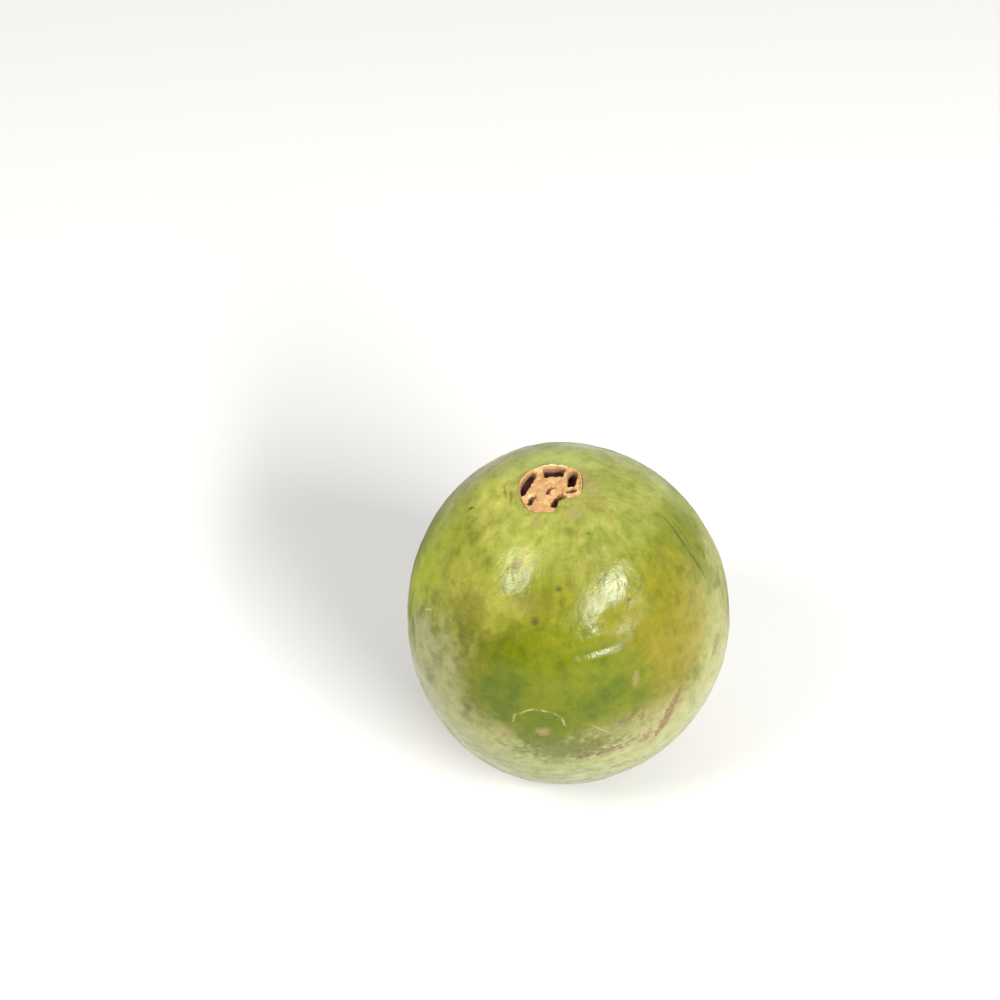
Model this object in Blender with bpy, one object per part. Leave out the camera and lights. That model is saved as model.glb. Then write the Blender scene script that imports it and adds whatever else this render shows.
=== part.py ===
"""A guava as picked: the fruit, the dried calyx in its blossom end and the stalk scar under it.

The fruit stands on its stalk end with the calyx up. Units are metres and radians, +Z is up and -Y is
the side that faces the viewer. Every form is a set of rings round the fruit's axis. The rings are worked
out on a straight axis first, and bend() then leans them over, because the real fruit grew crooked.
"""

from dataclasses import dataclass
from math import cos, radians, sin

import bmesh
import bpy
import numpy as np
from mathutils import Vector

MM = 0.001

# The body's driving dimensions
HALF_WIDTH = 31.0 * MM
HALF_HEIGHT = 36.0 * MM
EGG = 0.03                      # share by which the calyx end is fuller than a plain ellipse
LEAN = 4.9 * MM                 # how far the calyx stands to -X of the stalk
OVAL = 0.009                    # two-sided swelling of the cross section
OVAL_TURN = radians(15)
CORNERS = 0.021                 # three-cornered swelling of the cross section
CORNERS_TURN = radians(112)

# The flat spot that it rests on, and the stalk's hollow in its middle
FLAT_RADIUS = 8.5 * MM
FLAT_SINK = 1.72 * MM           # how much of the round end the flat spot takes away
FLAT_BLEND = 0.35 * MM
HOLLOW_MOUTH = 5.2 * MM
HOLLOW_FLOOR = 2.7 * MM
HOLLOW_DEPTH = 2.3 * MM

# The stalk scar, a corky button on the hollow's floor
SCAR_RADIUS = 2.1 * MM
SCAR_THICKNESS = 0.9 * MM
SCAR_RING = 0.25 * MM

# The calyx's seat in the blossom end
CALYX_RADIUS = 6.3 * MM
FLAP_REACH = 2.6 * MM           # how far a flap of skin laps in over the seat
FLAP_START = radians(-86)       # the flap's four turns: where it starts, is full, and ends
FLAP_FULL_START = radians(-66)
FLAP_FULL_END = radians(-56)
FLAP_END = radians(-10)
SEAT_DEPTH = 4.0 * MM           # from the blossom pole down to the seat's floor
SHOULDER_DIP = 0.45 * MM
SHOULDER_REACH = 3.2 * MM

# The calyx
GAP = 0.3 * MM
DISC_LEVEL = 1.3 * MM           # how far the disc lies below the blossom pole
DISC_CROWN = 0.25 * MM
RIM_WIDTH = 0.55 * MM
PIT_EDGE = 0.3 * MM
LIP_HEIGHT = 0.15 * MM

# How finely the rings are divided
FRUIT_SECTORS = 84
BODY_RINGS = 38
CALYX_SECTORS = 80
SCAR_SECTORS = 32


@dataclass(frozen=True)
class Swelling:
    """A soft rise of the skin, or a dent where the rise is negative."""

    around: float               # degrees round the axis, from +X towards +Y
    along: float                # degrees from the stalk's pole to the calyx's pole
    half_width: float
    half_length: float
    rise: float


SWELLINGS = (
    Swelling(-64, 127, 3.6 * MM, 3.2 * MM, -0.45 * MM),     # pressed dent under the crown
    Swelling(-116, 151, 3.0 * MM, 2.4 * MM, -0.20 * MM),    # small dimple left of the calyx
    Swelling(-100, 96, 5.6 * MM, 4.4 * MM, 0.35 * MM),      # healed blister, low on the front
    Swelling(-50, 88, 6.0 * MM, 6.0 * MM, -0.30 * MM),      # flattened cheek at the right
    Swelling(-146, 118, 9.0 * MM, 7.0 * MM, 0.35 * MM),     # fuller left cheek
    Swelling(60, 110, 11.0 * MM, 9.0 * MM, -0.45 * MM),     # shallow flat at the back
    Swelling(150, 75, 10.0 * MM, 8.0 * MM, -0.35 * MM),     # shallow flat at the back left
    Swelling(20, 60, 8.0 * MM, 7.0 * MM, 0.30 * MM),        # low swelling at the right
)


@dataclass(frozen=True)
class Lobe:
    """A wide bulge of the calyx's outline, or of its lip's height. A negative one is a flat."""

    around: float               # degrees round the calyx, from +X towards +Y
    half_width: float           # degrees
    bulge: float


OUTLINE_LOBES = (
    Lobe(128, 30, 0.50 * MM),
    Lobe(38, 16, 0.30 * MM),
    Lobe(-4, 20, -0.55 * MM),
    Lobe(-96, 22, -0.60 * MM),
    Lobe(-165, 25, -0.50 * MM),
)
LIP_LOBES = (
    Lobe(82, 30, 0.75 * MM),
    Lobe(15, 30, 0.25 * MM),
    Lobe(-150, 30, 0.35 * MM),
)


@dataclass(frozen=True)
class Pit:
    """A hollow slot in the calyx's disc, where the base of a sepal has shrunk away."""

    across: float               # its middle, to +X of the calyx's middle
    back: float                 # its middle, to +Y of the calyx's middle
    half_length: float
    half_width: float
    turn: float                 # degrees from +X towards +Y of its long side
    depth: float
    slant: float = 0.0          # share by which it is deeper on the left of its long side


PITS = (
    Pit(-5.20 * MM, 2.55 * MM, 3.2 * MM, 1.60 * MM, 64, 1.4 * MM, -0.5),
    Pit(0.55 * MM, 5.20 * MM, 1.95 * MM, 1.75 * MM, 0, 1.6 * MM, 0.2),
    Pit(3.95 * MM, 2.55 * MM, 1.90 * MM, 0.80 * MM, 84, 2.1 * MM),
    Pit(3.75 * MM, -0.60 * MM, 0.80 * MM, 0.48 * MM, -12, 1.7 * MM),
    Pit(1.25 * MM, -2.75 * MM, 1.75 * MM, 0.80 * MM, 54, 1.5 * MM),
    Pit(-3.70 * MM, -1.90 * MM, 1.10 * MM, 0.58 * MM, 64, 1.3 * MM),
    Pit(-0.35 * MM, 0.00 * MM, 0.85 * MM, 0.45 * MM, 57, 1.0 * MM),
)


def smooth_step(value: np.ndarray) -> np.ndarray:
    """Rise from 0 to 1 with level ends as the value goes from 0 to 1."""
    clamped = np.clip(value, 0.0, 1.0)
    return clamped * clamped * (3.0 - 2.0 * clamped)


def turn_between(angle: np.ndarray, centre: float) -> np.ndarray:
    """Give the signed turn from centre to each angle, between minus and plus half a turn."""
    return (angle - centre + np.pi) % (2.0 * np.pi) - np.pi


def sector_angles(count: int) -> np.ndarray:
    """Give the angles of one ring's points."""
    return np.arange(count) * (2.0 * np.pi / count)


def bend(across: np.ndarray, depth: np.ndarray, height: np.ndarray) -> np.ndarray:
    """Lean straight rings over towards -X, more the higher they are, and turn them with the axis."""
    share = height / (2.0 * HALF_HEIGHT)
    slope = 2.0 * share * LEAN / (2.0 * HALF_HEIGHT)
    stretch = np.sqrt(1.0 + slope * slope)
    shifted = across / stretch - LEAN * share * share
    raised = height + slope * across / stretch
    return np.stack([shifted, depth + 0.0 * height, raised], axis=-1)


def flattened(height: np.ndarray) -> np.ndarray:
    """Cut the round stalk end off level at z = 0, with a soft edge."""
    above = height - FLAT_SINK
    soft = (above + FLAT_BLEND) ** 2 / (4.0 * FLAT_BLEND)
    return np.where(above > FLAT_BLEND, above, np.where(above > -FLAT_BLEND, soft, 0.0))


def relief(along: np.ndarray, around: np.ndarray) -> np.ndarray:
    """Give how far the swellings and dents move the skin outward."""
    total = np.zeros(np.broadcast(along, around).shape)
    for swelling in SWELLINGS:
        middle = radians(swelling.along)
        sideways = turn_between(around, radians(swelling.around)) * HALF_WIDTH * np.sin(middle)
        lengthways = (along - middle) * HALF_HEIGHT
        reach = (sideways / swelling.half_width) ** 2 + (lengthways / swelling.half_length) ** 2
        total = total + swelling.rise * np.exp(-reach)
    away_from_flat = smooth_step((along - radians(30)) / radians(15))
    away_from_seat = smooth_step((radians(167) - along) / radians(10))
    return total * away_from_flat * away_from_seat


def lobed(around: np.ndarray, lobes: tuple[Lobe, ...]) -> np.ndarray:
    """Add up the lobes' bulges in each direction."""
    total = np.zeros(np.shape(around))
    for lobe in lobes:
        away = turn_between(around, radians(lobe.around)) / radians(lobe.half_width)
        total = total + lobe.bulge * np.exp(-away * away)
    return total


def seat_edge(around: np.ndarray) -> np.ndarray:
    """Give the radius of the skin's edge round the calyx: a lobed circle that a flap of skin bites into."""
    turn = turn_between(around, 0.0)
    growing = smooth_step((turn - FLAP_START) / (FLAP_FULL_START - FLAP_START))
    fading = smooth_step((FLAP_END - turn) / (FLAP_END - FLAP_FULL_END))
    return CALYX_RADIUS + lobed(around, OUTLINE_LOBES) - FLAP_REACH * growing * fading


def body_point(along: np.ndarray, around: np.ndarray) -> np.ndarray:
    """Give the skin's points, on the bent axis, from their angles along and round the body."""
    swell = 1.0 + np.sin(along) * (
        OVAL * np.cos(2.0 * (around - OVAL_TURN)) + CORNERS * np.cos(3.0 * (around - CORNERS_TURN))
    )
    radius = HALF_WIDTH * np.sin(along) * (1.0 - EGG * np.cos(along)) * swell
    height = HALF_HEIGHT * (1.0 - np.cos(along))
    outward = np.hypot(HALF_HEIGHT * np.sin(along), HALF_WIDTH * np.cos(along))
    lift = relief(along, around)
    radius = radius + lift * HALF_HEIGHT * np.sin(along) / outward
    height = height - lift * HALF_WIDTH * np.cos(along) / outward
    from_edge = np.maximum(radius - seat_edge(around), 0.0) / SHOULDER_REACH
    dip = SHOULDER_DIP * np.exp(-from_edge * from_edge) * smooth_step((along - radians(120)) / radians(30))
    height = flattened(height - dip)
    return bend(radius * np.cos(around), radius * np.sin(around), height)


def level_ring(radius: np.ndarray, around: np.ndarray, height: np.ndarray) -> np.ndarray:
    """Give a ring at its own radius and height, on the bent axis."""
    return bend(radius * np.cos(around), radius * np.sin(around), height + 0.0 * around)


def blossom_pole() -> float:
    """Give the height of the body's blossom pole on the straight axis."""
    return 2.0 * HALF_HEIGHT - FLAT_SINK


def stalk_rings(around: np.ndarray) -> list[np.ndarray]:
    """Give the rings of the stalk's hollow and of the flat spot round it, from the middle out."""
    rings = []
    for radius in (0.4 * HOLLOW_FLOOR, 0.8 * HOLLOW_FLOOR):
        rings.append(level_ring(radius, around, HOLLOW_DEPTH))
    wall_steps = 6
    for step in range(wall_steps + 1):
        share = step / wall_steps
        radius = HOLLOW_FLOOR + (HOLLOW_MOUTH - HOLLOW_FLOOR) * share
        rings.append(level_ring(radius, around, HOLLOW_DEPTH * (1.0 - smooth_step(share))))
    rings.append(level_ring(0.5 * (HOLLOW_MOUTH + FLAT_RADIUS), around, 0.0))
    return rings


def skin_rings(around: np.ndarray) -> list[np.ndarray]:
    """Give the rings of the skin, from the edge of the flat spot up to the edge of the calyx's seat."""
    first = np.arcsin(FLAT_RADIUS / HALF_WIDTH)
    last = np.pi - np.arcsin(seat_edge(around) / (HALF_WIDTH * (1.0 + EGG)))
    widest = last.min()
    rings = []
    for step in range(BODY_RINGS + 1):
        share = step / BODY_RINGS
        along = first + (widest - first) * share + (last - widest) * share ** 8
        rings.append(body_point(along, around))
    return rings


def seat_rings(around: np.ndarray, edge: np.ndarray) -> list[np.ndarray]:
    """Give the rings of the calyx's seat, from the skin's edge down and in to the middle of its floor.

    edge is the skin's last ring, on the bent axis.
    """
    radius = seat_edge(around)
    floor = blossom_pole() - SEAT_DEPTH
    pole_ring = level_ring(radius, around, floor)
    rings = [edge + (pole_ring - edge) * share for share in (0.12, 0.55)]
    rings.append(pole_ring)
    for share in (0.66, 0.33):
        rings.append(level_ring(radius * share, around, floor))
    return rings


def calyx_top(radius: np.ndarray, around: np.ndarray) -> np.ndarray:
    """Give the height of the calyx's upper side on the straight axis."""
    outer = seat_edge(around) - GAP
    crown = DISC_CROWN * (1.0 - (radius / outer) ** 2)
    level = blossom_pole() - DISC_LEVEL + crown
    hollow = np.zeros_like(radius)
    for pit in PITS:
        across = radius * np.cos(around) - pit.across
        back = radius * np.sin(around) - pit.back
        lengthways = (across * cos(radians(pit.turn)) + back * sin(radians(pit.turn))) / pit.half_length
        sideways = (back * cos(radians(pit.turn)) - across * sin(radians(pit.turn))) / pit.half_width
        reach = (lengthways ** 4 + sideways ** 4) ** 0.25
        inside = np.minimum((1.0 - reach) * pit.half_width, outer - RIM_WIDTH - radius)
        depth = pit.depth * (1.0 + pit.slant * np.clip(sideways, -1.0, 1.0))
        hollow = np.maximum(hollow, depth * smooth_step(inside / PIT_EDGE + 0.5))
    at_rim = smooth_step((radius - outer + 1.2 * RIM_WIDTH) / (0.6 * RIM_WIDTH))
    lip = (LIP_HEIGHT + lobed(around, LIP_LOBES)) * at_rim
    return level - hollow + lip


def calyx_rings(around: np.ndarray) -> list[np.ndarray]:
    """Give the calyx's rings: its underside from the middle out, its wall, and its top back to the middle."""
    outer = seat_edge(around) - GAP
    underside = blossom_pole() - SEAT_DEPTH + GAP
    rings = [level_ring(outer * share, around, underside) for share in (0.35, 0.7, 1.0)]
    brim = calyx_top(outer, around)
    rings.append(level_ring(outer, around, 0.5 * (underside + brim)))
    shares = (1.0, 0.965, 0.93, 0.89, 0.85, 0.81, 0.77, 0.73, 0.69, 0.64, 0.58, 0.51, 0.44, 0.36, 0.28, 0.2,
              0.15, 0.1, 0.05)
    for share in shares:
        rings.append(level_ring(outer * share, around, calyx_top(outer * share, around)))
    return rings


def scar_rings(around: np.ndarray) -> list[np.ndarray]:
    """Give the stalk scar's rings: its lower face from the middle out, and its upper face back in."""
    top = HOLLOW_DEPTH - GAP
    bottom = top - SCAR_THICKNESS
    ragged = 1.0 + 0.05 * np.cos(3.0 * around) + 0.04 * np.cos(5.0 * around + 1.0)
    lower = ((0.25, 0.5), (0.45, 0.35), (0.6, 0.1), (0.75, -1.0), (0.88, -0.8), (1.0, 0.6))
    rings = []
    for share, rise in lower:
        rings.append(level_ring(SCAR_RADIUS * share * ragged, around, bottom + rise * SCAR_RING))
    rings.append(level_ring(SCAR_RADIUS * ragged, around, top - 0.2 * SCAR_THICKNESS))
    rings.append(level_ring(SCAR_RADIUS * 0.9 * ragged, around, top))
    rings.append(level_ring(SCAR_RADIUS * 0.45 * ragged, around, top))
    return rings


def turned_object(name: str, rings: list[np.ndarray], seat: Vector, material: bpy.types.Material,
                  parent: bpy.types.Object) -> bpy.types.Object:
    """Build one closed body from its rings.

    The first and the last ring are closed by a fan round their middle point. seat is the object's origin,
    and the mesh is held relative to it.
    """
    work = bmesh.new()
    loops = [[work.verts.new(Vector(point) - seat) for point in ring] for ring in rings]
    first_middle = work.verts.new(Vector(rings[0].mean(axis=0)) - seat)
    last_middle = work.verts.new(Vector(rings[-1].mean(axis=0)) - seat)
    count = len(loops[0])
    for index in range(count):
        following = (index + 1) % count
        work.faces.new((first_middle, loops[0][following], loops[0][index]))
        for lower, upper in zip(loops, loops[1:]):
            work.faces.new((lower[index], lower[following], upper[following], upper[index]))
        work.faces.new((last_middle, loops[-1][index], loops[-1][following]))
    bmesh.ops.triangulate(work, faces=work.faces[:])
    mesh = bpy.data.meshes.new(name)
    work.to_mesh(mesh)
    work.free()
    mesh.shade_smooth()
    mesh.set_sharp_from_angle(angle=radians(50))
    mesh.materials.append(material)
    obj = bpy.data.objects.new(name, mesh)
    bpy.context.collection.objects.link(obj)
    obj.location = seat
    obj.parent = parent
    return obj


def finish(name: str, colour: tuple[float, float, float], roughness: float) -> bpy.types.Material:
    """Make a plain Principled material."""
    material = bpy.data.materials.new(name)
    material.use_nodes = True
    shader = material.node_tree.nodes["Principled BSDF"]
    shader.inputs["Base Color"].default_value = (*colour, 1.0)
    shader.inputs["Roughness"].default_value = roughness
    shader.inputs["Metallic"].default_value = 0.0
    return material


def main() -> None:
    """Empty the scene and build the guava, centred on the origin by its box."""
    for obj in list(bpy.data.objects):
        bpy.data.objects.remove(obj)
    root = bpy.data.objects.new("guava", None)
    bpy.context.collection.objects.link(root)

    around = sector_angles(FRUIT_SECTORS)
    skin = skin_rings(around)
    fruit_rings = stalk_rings(around) + skin + seat_rings(around, skin[-1])
    skin_finish = finish("waxy_skin", (0.36, 0.42, 0.07), 0.38)
    turned_object("fruit", fruit_rings, Vector((0.0, 0.0, 0.0)), skin_finish, root)

    calyx_seat = Vector(bend(np.array(0.0), np.array(0.0), np.array(blossom_pole() - SEAT_DEPTH)))
    cork = finish("dry_calyx", (0.62, 0.36, 0.17), 0.85)
    turned_object("calyx", calyx_rings(sector_angles(CALYX_SECTORS)), calyx_seat, cork, root)

    scar_seat = Vector((0.0, 0.0, HOLLOW_DEPTH))
    scar_finish = finish("stalk_cork", (0.30, 0.18, 0.09), 0.9)
    turned_object("stalk_scar", scar_rings(sector_angles(SCAR_SECTORS)), scar_seat, scar_finish, root)

    corners = np.concatenate(fruit_rings)
    middle = 0.5 * (corners.min(axis=0) + corners.max(axis=0))
    root.location = (-middle[0], -middle[1], 0.0)


main()
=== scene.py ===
"""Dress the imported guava: waxy green skin, dry corky calyx, the stalk's scar and the specks on the skin.

The skin and the calyx are grown by geometry nodes from the same rules and sizes as the solids. Everything
is in metres, +Z up, and -Y faces the viewer.
"""

import logging
from dataclasses import dataclass, field
from enum import Enum
from math import asin, cos, pi, radians, sin

import bpy
from mathutils import Euler, Matrix, Vector
from mathutils.bvhtree import BVHTree


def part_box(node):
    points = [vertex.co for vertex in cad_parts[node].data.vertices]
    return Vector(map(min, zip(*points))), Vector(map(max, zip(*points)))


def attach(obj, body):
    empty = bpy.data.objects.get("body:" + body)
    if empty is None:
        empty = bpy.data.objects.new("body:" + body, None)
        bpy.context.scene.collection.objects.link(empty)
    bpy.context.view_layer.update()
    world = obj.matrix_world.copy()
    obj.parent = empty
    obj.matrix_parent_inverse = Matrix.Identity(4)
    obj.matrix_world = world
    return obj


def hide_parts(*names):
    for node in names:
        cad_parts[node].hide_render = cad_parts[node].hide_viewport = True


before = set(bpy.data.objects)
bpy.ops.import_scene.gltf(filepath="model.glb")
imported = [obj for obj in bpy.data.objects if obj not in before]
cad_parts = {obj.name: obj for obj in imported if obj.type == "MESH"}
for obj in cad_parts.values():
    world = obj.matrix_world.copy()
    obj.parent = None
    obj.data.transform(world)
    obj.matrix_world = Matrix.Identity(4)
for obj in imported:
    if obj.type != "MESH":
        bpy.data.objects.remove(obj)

MM = 0.001
ROOT = "root"
WELD = 1e-6                     # points nearer than this become one
Colour = tuple[float, float, float]
Span = tuple[float, float]      # where something starts and where it ends
log = logging.getLogger("guava")


class Wire:
    """A value on its way through a node tree. Arithmetic on it adds the nodes that work it out."""

    def __init__(self, bench: "NodeBench", socket: bpy.types.NodeSocket) -> None:
        """Hold the socket that gives the value."""
        self.bench = bench
        self.socket = socket

    def __add__(self, other: "Value") -> "Wire":
        """Add."""
        return self.bench.maths("ADD", self, other)

    __radd__ = __add__

    def __sub__(self, other: "Value") -> "Wire":
        """Subtract."""
        return self.bench.maths("SUBTRACT", self, other)

    def __rsub__(self, other: "Value") -> "Wire":
        """Subtract from a number."""
        return self.bench.maths("SUBTRACT", other, self)

    def __mul__(self, other: "Value") -> "Wire":
        """Multiply."""
        return self.bench.maths("MULTIPLY", self, other)

    __rmul__ = __mul__

    def __truediv__(self, other: "Value") -> "Wire":
        """Divide."""
        return self.bench.maths("DIVIDE", self, other)

    def __rtruediv__(self, other: "Value") -> "Wire":
        """Divide a number."""
        return self.bench.maths("DIVIDE", other, self)

    def __abs__(self) -> "Wire":
        """Drop the sign."""
        return self.bench.maths("ABSOLUTE", self)

    def __pow__(self, other: "Value") -> "Wire":
        """Raise to a power."""
        return self.bench.maths("POWER", self, other)


Value = Wire | float            # what a sum takes
Paint = Wire | Colour           # what a mix of colours takes


class NodeBench:
    """Adds nodes to one tree, of geometry or of a material, and gives back their results as wires."""

    def __init__(self, tree: bpy.types.NodeTree) -> None:
        """Work on this tree."""
        self.tree = tree

    def node(self, kind: str, **settings: object) -> bpy.types.Node:
        """Add a node.

        Args:
            kind: Blender's name for the node type.
            settings: the node's own options, such as its operation.

        Returns:
            The new node.
        """
        made = self.tree.nodes.new(kind)
        for name, value in settings.items():
            setattr(made, name, value)
        return made

    def feed(self, socket: bpy.types.NodeSocket, value: object) -> None:
        """Link a wire to a socket, or set the socket to a plain value."""
        if isinstance(value, Wire):
            self.tree.links.new(value.socket, socket)
        else:
            socket.default_value = value

    def feed_named(self, node: bpy.types.Node, inputs: dict[str, object]) -> None:
        """Feed a node's inputs by their names, with underscores for spaces."""
        for name, value in inputs.items():
            self.feed(node.inputs[name.replace("_", " ")], value)

    def made(self, kind: str, output: int | str, settings: dict | None = None, **inputs: object) -> Wire:
        """Add a node with named inputs and give one of its outputs.

        Args:
            kind: Blender's name for the node type.
            output: the number or name of the output that is wanted.
            settings: the node's own options.
            inputs: values by input name, with underscores for spaces.

        Returns:
            The output as a wire.
        """
        made = self.node(kind, **(settings or {}))
        self.feed_named(made, inputs)
        return Wire(self, made.outputs[output])

    def maths(self, operation: str, *values: Value) -> Wire:
        """Give the result of one sum on numbers."""
        made = self.node("ShaderNodeMath", operation=operation)
        for socket, value in zip(made.inputs, values):
            self.feed(socket, value)
        return Wire(self, made.outputs[0])

    def vectors(self, operation: str, *values: object) -> Wire:
        """Give the result of one sum on vectors; it is a number for a dot product."""
        made = self.node("ShaderNodeVectorMath", operation=operation)
        if operation == "SCALE":
            self.feed(made.inputs[0], values[0])
            self.feed(made.inputs["Scale"], values[1])
        else:
            for socket, value in zip(made.inputs, values):
                self.feed(socket, value)
        return Wire(self, made.outputs["Value" if operation == "DOT_PRODUCT" else "Vector"])

    def vector(self, x: Value, y: Value, z: Value) -> Wire:
        """Join three numbers to a vector."""
        return self.made("ShaderNodeCombineXYZ", 0, X=x, Y=y, Z=z)

    def parts(self, vector: Wire) -> tuple[Wire, Wire, Wire]:
        """Split a vector into its three numbers."""
        split = self.node("ShaderNodeSeparateXYZ")
        self.feed(split.inputs[0], vector)
        x, y, z = (Wire(self, output) for output in split.outputs)
        return x, y, z

    def sine(self, angle: Wire) -> Wire:
        """Give the sine of an angle."""
        return self.maths("SINE", angle)

    def cosine(self, angle: Wire) -> Wire:
        """Give the cosine of an angle."""
        return self.maths("COSINE", angle)

    def hypotenuse(self, first: Wire, second: Value) -> Wire:
        """Give the length of the long side over two short ones."""
        return self.maths("SQRT", first * first + second * second)

    def local(self, place: Wire, centre: Vector, turned: Euler, scale: Vector) -> Wire:
        """Give a place as it is seen from a centre with its own turn and scale."""
        return self.made("ShaderNodeMapping", 0, {"vector_type": "TEXTURE"}, Vector=place,
                         Location=centre, Rotation=turned, Scale=scale)

    def bell(self, distance: Wire) -> Wire:
        """Give 1 at no distance, falling smoothly to nothing past about 2."""
        return self.maths("EXPONENT", distance * distance * -1.0)

    def rise(self, value: Wire, low: Value, high: Value, top: float = 1.0) -> Wire:
        """Rise smoothly from 0 to top while the value goes from low to high."""
        return self.made("ShaderNodeMapRange", 0, {"interpolation_type": "SMOOTHSTEP"},
                         Value=value, From_Min=low, From_Max=high, To_Max=top)

    def noise(self, place: Wire, size: Value, detail: float = 2.0, roughness: float = 0.5) -> Wire:
        """Give smooth noise from 0 to 1 whose features are about the given size in metres."""
        return self.made("ShaderNodeTexNoise", 0, Vector=place, Scale=1.0 / size,
                         Detail=detail, Roughness=roughness)

    def climb(self, value: Wire, low: float, high: float) -> Wire:
        """Climb evenly from 0 to 1 while the value goes from low to high."""
        return self.made("ShaderNodeMapRange", 0, Value=value, From_Min=low, From_Max=high)

    def mix(self, amount: Value, first: Value, second: Value) -> Wire:
        """Go from the first number to the second as amount goes from 0 to 1."""
        return first + (second - first) * amount

    def paint(self, amount: Value, under: Paint, over: Paint, blend: str = "MIX") -> Wire:
        """Cover one colour with another by an amount from 0 to 1, or multiply it where blend says so."""
        mixer = self.node("ShaderNodeMix", data_type="RGBA", clamp_factor=True, blend_type=blend)
        self.feed(mixer.inputs[0], amount)
        for socket, value in ((mixer.inputs[6], under), (mixer.inputs[7], over)):
            self.feed(socket, value if isinstance(value, Wire) else (*value, 1.0))
        return Wire(self, mixer.outputs[2])

    def warp(self, place: Wire, size: float, reach: float) -> Wire:
        """Shift a place by noise, up to about half of reach each way, so that edges on it run ragged."""
        noise = self.made("ShaderNodeTexNoise", 1, Vector=place, Scale=1.0 / size, Detail=1.0)
        wander = self.vectors("SUBTRACT", noise, (0.5, 0.5, 0.5))
        return self.vectors("ADD", place, self.vectors("SCALE", wander, reach))


def named(owner: object, *names: str) -> dict[str, float]:
    """Give an owner's fields as sizes for a recipe, each under its name as a title."""
    return {name.replace("_", " ").title(): getattr(owner, name) for name in names}


def new_object(name: str, data: bpy.types.ID) -> bpy.types.Object:
    """Put a new object into the scene."""
    made = bpy.data.objects.new(name, data)
    bpy.context.scene.collection.objects.link(made)
    return made


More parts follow.
